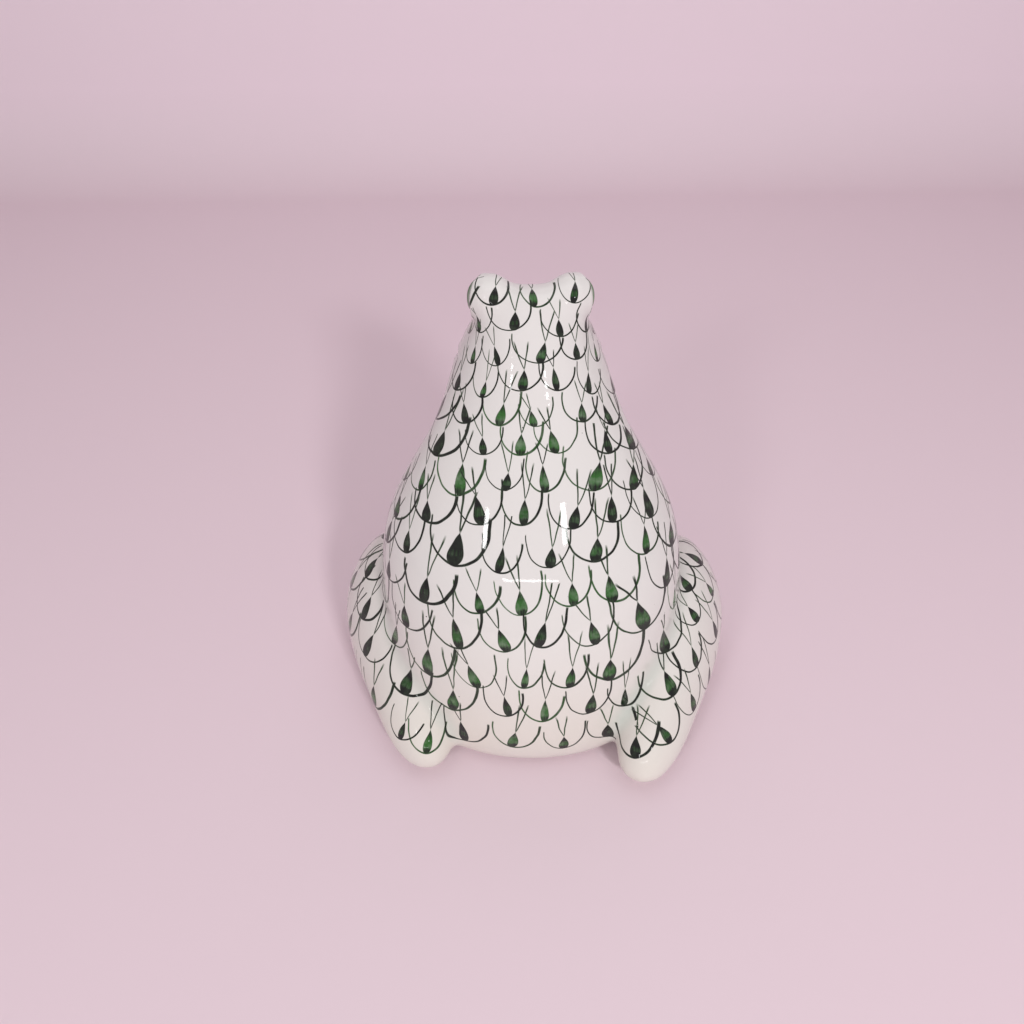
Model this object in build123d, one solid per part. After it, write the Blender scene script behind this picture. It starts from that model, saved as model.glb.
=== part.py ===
from build123d import *
import os
from math import cos, pi, radians, sin, sqrt

# A seated frog figurine in slip-cast porcelain. It faces -Y and stands on z = 0, with the
# origin in the middle of the body's flat underside. Sizes are in millimetres.
# The body, head and haunches are cast hollow, and the eyes, forelegs and feet are pressed
# solid. The pieces are joined face to face with slip before the firing, and each is one
# solid here.

# Body and head: one smooth outer form, cast in two pieces that meet at the neck
body_height = 102.5
body_half_width = 36.5
back_reach = 38.0
belly_reach = 30.0
wall = 3.4
floor_thickness = 4.0
neck_below_crown = 39.5
crown_y = -9.5

# Vents: one in the floor, and one through the wall into each haunch, for the kiln's steam
vent_radius = 3.0
vent_y = 14.0
limb_vent_radius = 2.0

# Mouth and nostrils, pressed into the clay
mouth_below_crown = 22.0
mouth_length = 26.0
mouth_corner_rise = 5.0
mouth_dip = 1.2
mouth_line_width = 1.0
mouth_line_depth = 0.8
nostril_radius = 0.9
nostril_spacing = 6.4
nostril_behind_snout = 2.7

# Eyes: two domes on top of the head, each with a groove round its iris
eye_radius = 5.3
eye_spacing = 17.0
eye_below_crown = 3.4
eye_ahead_of_crown = 2.5
iris_radius = 3.6
iris_groove_width = 0.7
iris_groove_depth = 0.45
iris_forward_angle = 28.0

# Haunches: each is one thick folded leg, from the knee in front to the heel behind
haunch_half_width = 12.0
haunch_half_height = 15.8
haunch_top_slimness = 0.3
haunch_wall = 3.2
knee_outside_body = 2.1
knee_behind_belly = 6.0
heel_inside_body = 11.0
heel_behind_back = 3.5
right_leg_lag = 4.5
right_leg_splay = 2.0

# Hind feet: flat soles under the haunches, with webbed toes in front
sole_thickness = 2.5
sole_half_width = 7.0
sole_height = 6.5
sole_ends_before_heel = 4.0
ball_inside_knee = 1.0
ball_behind_knee = 5.0
hind_toe_count = 4
hind_toe_length = 17.0
hind_toe_root_radius = 2.1
hind_toe_tip_radius = 2.4
hind_toe_fan = 66.0
hind_toe_turn = -3.0
web_thickness = 1.8

# Forelegs: from the shoulder down to the flat joint at the wrist
shoulder_below_neck = 1.0
foreleg_radius = 9.0
elbow_inside_body = 10.0
wrist_inside_elbow = 9.5
wrist_ahead_of_belly = 1.0
wrist_height = 4.5

# Front feet: a round palm, cut flat at the wrist, and four toes
palm_margin = 1.2
front_toe_count = 4
front_toe_length = 11.5
front_toe_root_radius = 2.0
front_toe_tip_radius = 2.4
front_toe_fan = 84.0
front_toe_turn = 6.0

# How far a cut runs past what it cuts, and how many points draw a round section
overrun = 5.0
section_points = 16

# Outline of the body and head, one row for each level from the floor to the crown: its
# height as a share of body_height, half width as a share of body_half_width, back as a share
# of back_reach, front as a share of belly_reach, and how much fuller it is at the back
body_level_shares = [
    (0.000, 0.78, 0.925, 0.76, 0.30),
    (0.035, 0.87, 0.995, 0.89, 0.27),
    (0.115, 0.95, 1.015, 0.98, 0.20),
    (0.240, 0.99, 0.975, 1.02, 0.11),
    (0.390, 1.00, 0.860, 1.00, 0.05),
    (0.510, 0.925, 0.690, 0.93, 0.04),
    (0.620, 0.755, 0.480, 0.84, 0.06),
    (0.715, 0.590, 0.290, 0.84, 0.08),
    (0.790, 0.500, 0.150, 1.10, 0.08),
    (0.855, 0.425, 0.050, 1.14, 0.10),
    (0.915, 0.345, -0.040, 0.88, 0.10),
    (0.965, 0.255, -0.120, 0.54, 0.06),
]
crown_size_shares = (0.10, 0.10)

# Stations along a haunch, from knee to heel: how far along it lies, how far its middle has
# moved in from the knee to the heel, and as shares of haunch_half_height the middle's height
# over the sole, then the half width as a share of haunch_half_width and the half height
haunch_station_shares = [
    (0.000, 0.02, 1.00, 0.14, 0.14),
    (0.035, 0.02, 1.00, 0.42, 0.42),
    (0.120, 0.02, 1.00, 0.76, 0.76),
    (0.270, 0.04, 1.00, 0.98, 0.98),
    (0.430, 0.16, 0.96, 1.00, 0.98),
    (0.600, 0.38, 0.80, 0.92, 0.82),
    (0.760, 0.64, 0.61, 0.78, 0.60),
    (0.890, 0.86, 0.42, 0.64, 0.42),
    (0.965, 0.97, 0.29, 0.42, 0.27),
    (1.000, 0.99, 0.26, 0.14, 0.10),
]

# Stations up a foreleg: how far up it lies from wrist to top, how far its middle has moved
# out from wrist_x to elbow_x, its y as a share of wrist_y, and its share of foreleg_radius
foreleg_station_shares = [
    (0.00, 0.00, 1.00, 0.56),
    (0.17, 0.22, 0.95, 0.60),
    (0.36, 0.72, 0.83, 0.72),
    (0.53, 1.00, 0.70, 0.90),
    (0.70, 0.80, 0.58, 1.00),
    (0.85, 0.36, 0.46, 0.88),
    (0.95, 0.02, 0.38, 0.60),
    (1.00, -0.12, 0.34, 0.20),
]

# Stations along a sole, from heel to ball: how far along it lies, its half width and height
sole_station_shares = [
    (0.00, 0.20, 0.30),
    (0.05, 0.55, 0.70),
    (0.20, 0.78, 0.92),
    (0.55, 0.86, 1.00),
    (0.85, 1.00, 0.95),
    (0.97, 0.76, 0.76),
    (1.00, 0.40, 0.40),
]
sole_sink_share = 0.30
web_reach_share = 0.84
web_hollow_share = 0.80

# Places that follow from the sizes above
snout_reach = belly_reach * max(front for _, _, _, front, _ in body_level_shares)
neck_height = body_height - neck_below_crown
eye_z = body_height - eye_below_crown
eye_y = crown_y - eye_ahead_of_crown
mouth_z = body_height - mouth_below_crown
mouth_corner_y = mouth_length - snout_reach
nostril_y = nostril_behind_snout - snout_reach
knee_x = body_half_width + knee_outside_body
knee_y = knee_behind_belly - belly_reach
heel_x = body_half_width - heel_inside_body
heel_y = back_reach + heel_behind_back
ball_x = knee_x - ball_inside_knee
ball_y = knee_y + ball_behind_knee
foreleg_top = neck_height - shoulder_below_neck
elbow_x = body_half_width - elbow_inside_body
wrist_x = elbow_x - wrist_inside_elbow
wrist_y = -belly_reach - wrist_ahead_of_belly
wrist_radius = foreleg_radius * foreleg_station_shares[0][3]
palm_radius = wrist_radius + palm_margin
palm_dome_height = wrist_height / sqrt(1 - (wrist_radius / palm_radius) ** 2)


def between(start, end, share):
    """The value that lies that share of the way from start to end."""
    return start + (end - start) * share


def round_section(centre, half_width, half_depth, along="Z", fullness=0.0):
    """A closed oval outline square to Z or to Y, as one smooth periodic curve."""
    normal = (0, 0, 1) if along == "Z" else (0, -1, 0)
    plane = Plane(origin=centre, x_dir=(1, 0, 0), z_dir=normal)
    points = []
    for i in range(section_points):
        turn = 2 * pi * i / section_points - pi / 2
        across = half_width * cos(turn) * (1 + fullness * sin(turn))
        points.append(plane.from_local_coords((across, half_depth * sin(turn), 0)))
    knots = [i / section_points for i in range(section_points + 1)]
    return Wire([Edge.make_spline(points, periodic=True, parameters=knots)])


def slab(low, high):
    """A box that is wider than the whole figurine, from one height to another."""
    reach = 4 * body_height
    return Pos(0, 0, (low + high) / 2) * Box(reach, reach, high - low)


below_floor = slab(-body_height, 0)


def body_form(inset=0.0, floor=0.0):
    """Body and head as one solid, drawn in by inset on every side, standing on floor."""
    levels = []
    for level, width, back, front, fullness in body_level_shares:
        z = level * body_height
        back_y, front_y = back * back_reach - inset, inset - front * belly_reach
        half_width = width * body_half_width - inset
        if floor and z < floor:
            continue
        if floor and not levels:
            levels.append(
                round_section(
                    (0, (back_y + front_y) / 2, floor), half_width - inset, (back_y - front_y) / 2 - inset
                )
            )
        levels.append(
            round_section((0, (back_y + front_y) / 2, z), half_width, (back_y - front_y) / 2, "Z", fullness)
        )
    width, depth = crown_size_shares
    levels.append(
        round_section((0, crown_y, body_height - inset), width * body_half_width, depth * belly_reach)
    )
    return Solid.make_loft(levels)


def haunch_form(side, inset=0.0):
    """One folded hind leg from knee to heel, drawn in by inset. side is 1 for the left one."""
    lag, splay = (right_leg_lag, right_leg_splay) if side < 0 else (0.0, 0.0)
    sections = []
    for along, inwards, middle, width, height in haunch_station_shares:
        half_width = width * haunch_half_width - inset
        half_height = height * haunch_half_height - inset
        if inset and min(half_width, half_height) < inset / 2:
            continue
        centre = (
            side * between(knee_x + splay, heel_x, inwards),
            between(knee_y, heel_y, along) + lag * (1 + along) / 2,
            sole_thickness + middle * haunch_half_height,
        )
        sections.append(round_section(centre, half_width, half_height, "Y", -haunch_top_slimness))
    return Solid.make_loft(sections)


def toe(start, turn, length, root_radius, tip_radius):
    """A toe that lies on the floor, from a flat root inside the foot to a round tip.
    turn is its direction in radians from -Y."""
    reach = Vector(sin(turn), -cos(turn), 0) * (length - tip_radius)
    start = Vector(start.X, start.Y, root_radius * (1 - sole_sink_share))
    end = Vector(start.X + reach.X, start.Y + reach.Y, tip_radius * (1 - sole_sink_share))
    bone = end - start
    outline = [
        Line((0, 0), (0, root_radius)),
        Line((0, root_radius), (bone.length, tip_radius)),
        RadiusArc((bone.length, tip_radius), (bone.length + tip_radius, 0), tip_radius),
        Line((bone.length + tip_radius, 0), (0, 0)),
    ]
    plane = Plane(origin=start, x_dir=bone, z_dir=bone.cross(Vector(0, 0, 1)))
    return revolve(plane * make_face(outline), axis=Axis(start, bone)).solid()


def toe_turns(side, count, fan, middle_turn):
    """The direction of each toe in radians, spread evenly over the fan."""
    return [
        side * radians(middle_turn + fan * (i / (count - 1) - 0.5)) for i in range(count)
    ]


def web(ball, turns, length):
    """The thin skin between a hind foot's toes, with a hollow edge from toe to toe."""
    points = [ball]
    for i, turn in enumerate(turns):
        points.append(ball + Vector(sin(turn), -cos(turn), 0) * length)
        if i + 1 < len(turns):
            middle = (turn + turns[i + 1]) / 2
            points.append(ball + Vector(sin(middle), -cos(middle), 0) * length * web_hollow_share)
    outline = Face(Wire.make_polygon([Vector(p.X, p.Y, 0) for p in points]))
    return extrude(outline, amount=web_thickness, dir=(0, 0, 1))


def whole(shape):
    """The one solid that a fuse or a cut leaves, as a plain solid."""
    solids = shape.solids()
    return max(solids, key=lambda s: s.volume)


def eye_dome(side):
    """One eye: a dome with a fine groove round the iris, which looks outwards and ahead."""
    centre = Vector(side * eye_spacing / 2, eye_y, eye_z)
    turn = radians(iris_forward_angle)
    gaze = Vector(side * cos(turn), -sin(turn), 0)
    rim = sqrt(eye_radius**2 - iris_radius**2) - iris_groove_depth
    plane = Plane(origin=centre + gaze * rim, z_dir=gaze)
    outer_tool = Solid.make_cylinder(iris_radius + iris_groove_width, eye_radius, plane)
    inner_tool = Solid.make_cylinder(iris_radius, eye_radius, plane)
    return Solid.make_sphere(eye_radius, Plane(origin=centre)) - (outer_tool - inner_tool)


def mouth_cutter():
    """A curved band across the face. What reaches past the head's inset form is cut away."""
    front_y = -2 * belly_reach
    low, high = mouth_z - mouth_line_width / 2, mouth_z + mouth_line_width / 2
    middle_y = between(front_y, mouth_corner_y, 0.5)

    def arc(z):
        corner = (mouth_corner_y, z + mouth_corner_rise)
        return ThreePointArc((front_y, z - mouth_dip), (middle_y, z), corner)

    lower, upper = arc(low), arc(high)
    ends = [Line(lower @ 0, upper @ 0), Line(lower @ 1, upper @ 1)]
    profile = Plane.YZ * make_face([lower, upper, *ends])
    band = extrude(profile, amount=body_half_width, both=True)
    return band - body_form(mouth_line_depth)


def nostril_cutters(form):
    """Two small balls, each sunk by half in the top of the snout."""
    balls = []
    for side in (1, -1):
        down = Axis((side * nostril_spacing / 2, nostril_y, 2 * body_height), (0, 0, -1))
        top = max((p for p, _ in form.find_intersection_points(down)), key=lambda p: p.Z)
        balls.append(Solid.make_sphere(nostril_radius, Plane(origin=top)))
    return balls


def sole_form(side):
    """The flat sole of a hind foot from heel to ball, with a flat underside."""
    lag, splay = (right_leg_lag, right_leg_splay) if side < 0 else (0.0, 0.0)
    sections = []
    half_height = sole_height / (2 - sole_sink_share)
    for along, width, height in sole_station_shares:
        centre = (
            side * between(heel_x, ball_x + splay, along),
            between(heel_y - sole_ends_before_heel, ball_y, along) + lag,
            half_height * (1 - sole_sink_share) * height,
        )
        sections.append(round_section(centre, width * sole_half_width, height * half_height, "Y"))
    return Solid.make_loft(sections)


def hind_foot(side):
    """Sole, toes and webs of one hind foot in one piece."""
    lag, splay = (right_leg_lag, right_leg_splay) if side < 0 else (0.0, 0.0)
    ball = Vector(side * (ball_x + splay), ball_y + lag + sole_half_width / 2, 0)
    turns = toe_turns(side, hind_toe_count, hind_toe_fan, hind_toe_turn)
    length = hind_toe_length + sole_half_width / 2
    toes = [toe(ball, turn, length, hind_toe_root_radius, hind_toe_tip_radius) for turn in turns]
    skin = web(ball, turns, length * web_reach_share)
    return sole_form(side).fuse(*toes, *skin.solids()) - below_floor


def foreleg_form(side):
    """One foreleg, from the wrist up to the shoulder."""
    sections = []
    for height, outward, forward, thickness in foreleg_station_shares:
        centre = (
            side * between(wrist_x, elbow_x, outward),
            forward * wrist_y,
            between(wrist_height, foreleg_top, height),
        )
        radius = thickness * foreleg_radius
        sections.append(round_section(centre, radius, radius))
    return Solid.make_loft(sections)


def front_foot(side):
    """Palm and toes of one front foot in one piece, flat below and at the wrist."""
    palm_centre = Vector(side * wrist_x, wrist_y, 0)
    palm = Pos(palm_centre.X, palm_centre.Y, 0) * scale(
        Sphere(1), by=(palm_radius, palm_radius, palm_dome_height)
    )
    turns = toe_turns(side, front_toe_count, front_toe_fan, front_toe_turn)
    toes = [
        toe(palm_centre, turn, front_toe_length, front_toe_root_radius, front_toe_tip_radius)
        for turn in turns
    ]
    return whole(palm).fuse(*toes) - below_floor - slab(wrist_height, body_height)


def limb_vent(side):
    """The hole through the body's wall that opens one haunch to the body's hollow."""
    middle = (0, (knee_y + heel_y) / 2, sole_thickness + haunch_half_height)
    plane = Plane(origin=middle, z_dir=(side, 0, 0))
    return Solid.make_cylinder(limb_vent_radius, knee_x, plane)


def build():
    """Every piece of the figurine, by name."""
    outer = body_form()
    hollow = body_form(wall, floor_thickness)
    below_vent = Plane(origin=(0, vent_y, -overrun))
    vent = Solid.make_cylinder(vent_radius, floor_thickness + 2 * overrun, below_vent)
    shell = outer - hollow - vent - limb_vent(1) - limb_vent(-1)
    pieces = {
        "torso": shell - slab(neck_height, 2 * body_height),
        "head": shell - slab(-body_height, neck_height) - mouth_cutter(),
    }
    for ball in nostril_cutters(outer):
        pieces["head"] = pieces["head"] - ball
    pieces["eye_right"] = eye_dome(-1) - outer
    pieces["eye_left"] = mirror(pieces["eye_right"], about=Plane.YZ)
    for side, name in ((1, "left"), (-1, "right")):
        haunch = haunch_form(side)
        pieces[f"haunch_{name}"] = haunch - haunch_form(side, haunch_wall) - outer
        pieces[f"hind_foot_{name}"] = hind_foot(side) - haunch - outer
        pieces[f"front_foot_{name}"] = front_foot(side) - outer
    pieces["foreleg_left"] = foreleg_form(1) - outer - haunch_form(1)
    pieces["foreleg_right"] = mirror(pieces["foreleg_left"], about=Plane.YZ)
    return {name: whole(shape) for name, shape in pieces.items()}


os.makedirs("parts", exist_ok=True)
for name, solid in build().items():
    export_step(solid, f"parts/{name}.step")
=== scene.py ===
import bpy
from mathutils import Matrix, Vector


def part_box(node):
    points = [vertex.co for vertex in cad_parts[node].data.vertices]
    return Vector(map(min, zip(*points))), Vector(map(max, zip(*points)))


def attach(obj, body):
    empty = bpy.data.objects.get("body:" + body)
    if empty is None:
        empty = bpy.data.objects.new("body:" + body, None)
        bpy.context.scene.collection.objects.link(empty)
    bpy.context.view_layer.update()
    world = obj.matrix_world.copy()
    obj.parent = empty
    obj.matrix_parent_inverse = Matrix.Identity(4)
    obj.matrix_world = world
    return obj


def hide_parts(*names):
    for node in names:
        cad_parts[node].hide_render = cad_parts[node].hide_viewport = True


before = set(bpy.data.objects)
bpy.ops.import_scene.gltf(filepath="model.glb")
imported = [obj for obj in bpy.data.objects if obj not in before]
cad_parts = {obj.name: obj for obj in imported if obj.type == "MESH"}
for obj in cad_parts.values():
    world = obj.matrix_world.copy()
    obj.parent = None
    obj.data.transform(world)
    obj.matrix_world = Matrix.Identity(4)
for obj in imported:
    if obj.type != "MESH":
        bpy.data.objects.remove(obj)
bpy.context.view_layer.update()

from math import cos, pi, radians, sin

import bmesh
import bpy
import numpy as np
from mathutils import Matrix, Vector
from mathutils.bvhtree import BVHTree

scene = bpy.context.scene

# Camera
# It stands behind the frog and looks down on its back, as the photograph was taken.
photo_width_px = 1024
focal_length_px = 740.0
camera_place = Vector((0.0045, 0.137, 0.165))
camera_looks_down = radians(40.0)
camera_roll = radians(-0.7)

ahead = Vector((0, -cos(camera_looks_down), -sin(camera_looks_down)))
level_right = Vector((-1, 0, 0))
level_up = level_right.cross(ahead)
screen_right = level_right * cos(camera_roll) + level_up * sin(camera_roll)
screen_up = level_up * cos(camera_roll) - level_right * sin(camera_roll)
camera_data = bpy.data.cameras.new("camera")
camera_data.lens = focal_length_px / photo_width_px * camera_data.sensor_width
camera_data.clip_start = 0.01
camera = bpy.data.objects.new("camera", camera_data)
turn = Matrix((screen_right, screen_up, -ahead)).transposed().to_4x4()
camera.matrix_world = Matrix.Translation(camera_place) @ turn
scene.collection.objects.link(camera)
scene.camera = camera

# The casting under its glaze
# The potter lutes twelve cast and pressed porcelain pieces together with slip and sponges the
# joints down, and one glaze runs over them all. So the outer skin is made as one surface here,
# and each piece's section below takes its own part of it.
skin_voxel = 0.0010
well_radius = 0.0030
well_wall = 0.0020
well_low = 0.0030
well_top = 0.0120
well_turns = 48
foot_flat_height = 0.00035
weld_distance = 1e-6
smoothing_rounds = 3
smoothing_shares = (0.5, -0.53)
sponging_rounds = 16
sponging_share = 0.5
vent_sponging_share = 0.1
sponging_of_form = {
    "torso": 1.0, "head": 0.9, "haunch": 1.0, "foreleg": 0.7, "eye": 0.35, "foot": 0.16
}
wave_height = 0.00022
wave_length = 0.016
wave_seed = 4.0
pool_spread_rounds = 6
pool_full_at = 0.00005

vent_place = Vector((0.0, 0.014, 0.0))
nodes = sorted(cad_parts)


def form_of(node):
    """The kind of form that a node is, such as haunch or foot."""
    words = [word for word in node.split("_") if word not in ("left", "right", "hind", "front")]
    return words[0]


def modified(mesh, kind, group_inputs=None, **settings):
    """A copy of a mesh with one modifier applied to it. A node group also gets its inputs."""
    holder = bpy.data.objects.new("holder", mesh)
    scene.collection.objects.link(holder)
    modifier = holder.modifiers.new(kind, kind)
    for setting, value in settings.items():
        setattr(modifier, setting, value)
    for item in modifier.node_group.interface.items_tree if group_inputs else ():
        if item.name in group_inputs:
            modifier[item.identifier] = group_inputs[item.name]
    bpy.context.view_layer.update()
    evaluated = holder.evaluated_get(bpy.context.evaluated_depsgraph_get())
    result = bpy.data.meshes.new_from_object(evaluated)
    bpy.data.objects.remove(holder)
    return result


def largest_island(mesh):
    """The connected part of a mesh with the most vertices. The hollows inside are the others."""
    form = bmesh.new()
    form.from_mesh(mesh)
    unseen = set(form.verts)
    islands = []
    while unseen:
        front = [unseen.pop()]
        island = set(front)
        while front:
            for edge in front.pop().link_edges:
                for vertex in edge.verts:
                    if vertex in unseen:
                        unseen.remove(vertex)
                        island.add(vertex)
                        front.append(vertex)
        islands.append(island)
    keep = max(islands, key=len)
    bmesh.ops.delete(form, geom=[v for v in form.verts if v not in keep], context="VERTS")
    form.to_mesh(mesh)
    form.free()
    return mesh


def read_array(collection, name, width, kind=float):
    """One property of a mesh's vertices, faces or loops, as an array with one row for each."""
    values = np.empty(len(collection) * width, kind)
    collection.foreach_get(name, values)
    return values.reshape(-1, width) if width > 1 else values


def store(mesh, name, kind, domain, values, field="value"):
    """Stores an attribute of a mesh, with values for each of its vertices, faces or corners."""
    mesh.attributes.new(name, kind, domain).data.foreach_set(field, values)


casting = bmesh.new()
for node in nodes:
    solid = bmesh.new()
    solid.from_mesh(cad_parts[node].data)
    bmesh.ops.remove_doubles(solid, verts=solid.verts, dist=weld_distance)
    solid_mesh = bpy.data.meshes.new("solid")
    solid.to_mesh(solid_mesh)
    solid.free()
    casting.from_mesh(solid_mesh)

# A well over the vent closes the hollow off, so that the vent shows as a deep dark hole.
outside = well_radius + well_wall
well_profile = [
    (0, well_top),
    (well_radius, well_top),
    (well_radius, well_low),
    (outside, well_low),
    (outside, well_top + well_wall),
    (0, well_top + well_wall),
]
well_line = [casting.verts.new(vent_place + Vector((r, 0, z))) for r, z in well_profile]
well_edges = [casting.edges.new(pair) for pair in zip(well_line, well_line[1:])]
bmesh.ops.spin(
    casting,
    geom=well_line + well_edges,
    cent=vent_place,
    axis=(0, 0, 1),
    angle=2 * pi,
    steps=well_turns,
)
bmesh.ops.remove_doubles(casting, verts=casting.verts, dist=weld_distance)
casting_mesh = bpy.data.meshes.new("casting")
casting.to_mesh(casting_mesh)
casting.free()
skin = largest_island(modified(casting_mesh, "REMESH", mode="VOXEL", voxel_size=skin_voxel))

points = read_array(skin.vertices, "co", 3)
quads = read_array(skin.loops, "vertex_index", 1, np.int32).reshape(-1, 4)
middles = points[quads].mean(1)
distances = np.empty((len(nodes), len(middles)))
for i, node in enumerate(nodes):
    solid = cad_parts[node].data
    places, faces = [v.co for v in solid.vertices], [p.vertices for p in solid.polygons]
    tree = BVHTree.FromPolygons(places, faces)
    distances[i] = [tree.find_nearest(Vector(p))[3] for p in middles]
owner = distances.argmin(0)

edges = np.concatenate([quads[:, [i, (i + 1) % 4]] for i in range(4)])
edges = np.unique(np.sort(edges, axis=1), axis=0)
neighbours = np.bincount(edges.ravel(), minlength=len(points))
sponging = np.array([sponging_of_form[form_of(node)] for node in nodes])
strength = np.bincount(quads.ravel(), np.repeat(sponging[owner], 4), len(points))
strength /= np.bincount(quads.ravel(), minlength=len(points))
from_vent = np.linalg.norm(points[:, :2] - np.array(vent_place)[:2], axis=1)
near_vent = (points[:, 2] < well_top + well_wall) & (from_vent < 2 * well_radius)
strength[near_vent] *= vent_sponging_share


def neighbour_mean(values):
    """The mean of each vertex's neighbours' values."""
    total = np.zeros_like(values)
    for axis in range(values.shape[1]):
        total[:, axis] += np.bincount(edges[:, 0], values[edges[:, 1], axis], len(values))
        total[:, axis] += np.bincount(edges[:, 1], values[edges[:, 0], axis], len(values))
    return total / neighbours[:, None]


for _ in range(smoothing_rounds):
    for share in smoothing_shares:
        points += (neighbour_mean(points) - points) * share
for _ in range(sponging_rounds):
    points += (neighbour_mean(points) - points) * sponging_share * strength[:, None]
flat_foot = (points[:, 2] < foot_flat_height) & ~near_vent
points[:, 2] = np.where(flat_foot, 0.0, np.maximum(points[:, 2], 0.0))
skin.vertices.foreach_set("co", points.ravel())
store(skin, "owner", "INT", "FACE", owner.astype(np.int32))
skin.update()
coarse_normals = read_array(skin.vertex_normals, "vector", 3)
hollow = ((neighbour_mean(points) - points) * coarse_normals).sum(1, keepdims=True)
for _ in range(pool_spread_rounds):
    hollow = neighbour_mean(hollow)
pool = np.clip(hollow[:, 0] / pool_full_at, 0, 1)
store(skin, "pool", "FLOAT", "POINT", pool.astype(np.float32))
skin = modified(skin, "SUBSURF", levels=1, render_levels=1)

# The mould and the sponge leave the surface a little wavy, which the gloss then shows.
wave_tree = bpy.data.node_groups.new("sponged waves", "GeometryNodeTree")
wave_tree.interface.new_socket("Geometry", in_out="INPUT", socket_type="NodeSocketGeometry")
for name in ("Wave height", "Wave length", "Seed"):
    wave_tree.interface.new_socket(name, in_out="INPUT", socket_type="NodeSocketFloat")
wave_tree.interface.new_socket("Material", in_out="INPUT", socket_type="NodeSocketMaterial")
wave_tree.interface.new_socket("Geometry", in_out="OUTPUT", socket_type="NodeSocketGeometry")


def wire(tree, kind, *inputs, **settings):
    """Adds a node, sets its properties, and sets or links its inputs in their order."""
    made = tree.nodes.new(kind)
    for setting, value in settings.items():
        setattr(made, setting, value)
    for socket, value in zip(made.inputs, inputs):
        if isinstance(value, bpy.types.NodeSocket):
            tree.links.new(value, socket)
        elif value is not None:
            socket.default_value = value
    return made


given = wire(wave_tree, "NodeGroupInput").outputs
place = wire(wave_tree, "GeometryNodeInputPosition").outputs[0]
outward = wire(wave_tree, "GeometryNodeInputNormal").outputs[0]
per_metre = wire(
    wave_tree, "ShaderNodeMath", 1.0, given["Wave length"], operation="DIVIDE"
).outputs[0]
noise = wire(
    wave_tree, "ShaderNodeTexNoise", place, given["Seed"], per_metre, 1.0, noise_dimensions="4D"
).outputs[0]
swing = wire(wave_tree, "ShaderNodeMath", noise, 0.5, operation="SUBTRACT").outputs[0]
push = wire(
    wave_tree, "ShaderNodeMath", swing, given["Wave height"], operation="MULTIPLY"
).outputs[0]
offset = wire(wave_tree, "ShaderNodeVectorMath", outward, operation="SCALE")
wave_tree.links.new(push, offset.inputs["Scale"])
moved = wire(wave_tree, "GeometryNodeSetPosition", given["Geometry"])
wave_tree.links.new(offset.outputs[0], moved.inputs["Offset"])
real = wire(wave_tree, "GeometryNodeRealizeInstances", moved.outputs[0]).outputs[0]
dressed = wire(wave_tree, "GeometryNodeSetMaterial", real)
wave_tree.links.new(given["Material"], dressed.inputs["Material"])
wire(wave_tree, "NodeGroupOutput", dressed.outputs[0])

# Glazed porcelain with underglaze painting
# It is white porcelain, fired with copper-green painting under a clear gloss glaze. The body is
# matt under the glass, so only the glaze on top reflects: small sharp highlights over a soft
# white, with a grey-green tint where the glaze pools in the creases. Towards the foot the white
# is painted creamier in broad random patches, as painted warm light.
porcelain_hex = "DBD9D6"
painted_warm_light_hex = "DED4C2"
pool_hex = "B9C1B8"
green_paint_hex = "2D6128"
dark_paint_hex = "0B1410"
body_roughness = 0.60
coat_roughness = 0.03
# Painted warm light: the white is painted creamier towards the foot, in broad random patches.
warm_light_patch_mm = 38.0
painted_warm_light_height = 0.05
painted_warm_light_most = 0.75
brush_load_mm = 1.6
brush_load_noise = (0.3, 0.6)
brush_load_share = (0.86, 1.0)
brush_wobble_mm = 5.0
brush_wobble_share = 0.07
bristle_streaks = (34.0, 4.0)
pen_edge_per_mm = 7.0
speck_spacing_mm = 7.0
speck_radius_mm = 0.20
speck_edge = 60.0
scale_slots = 5
far_off = 9.0


def linear(hex_colour):
    """A colour for a shader socket, from its sRGB hex value."""
    shares = [int(hex_colour[i : i + 2], 16) / 255 for i in (0, 2, 4)]
    return [s / 12.92 if s <= 0.04045 else ((s + 0.055) / 1.055) ** 2.4 for s in shares] + [1.0]


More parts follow.
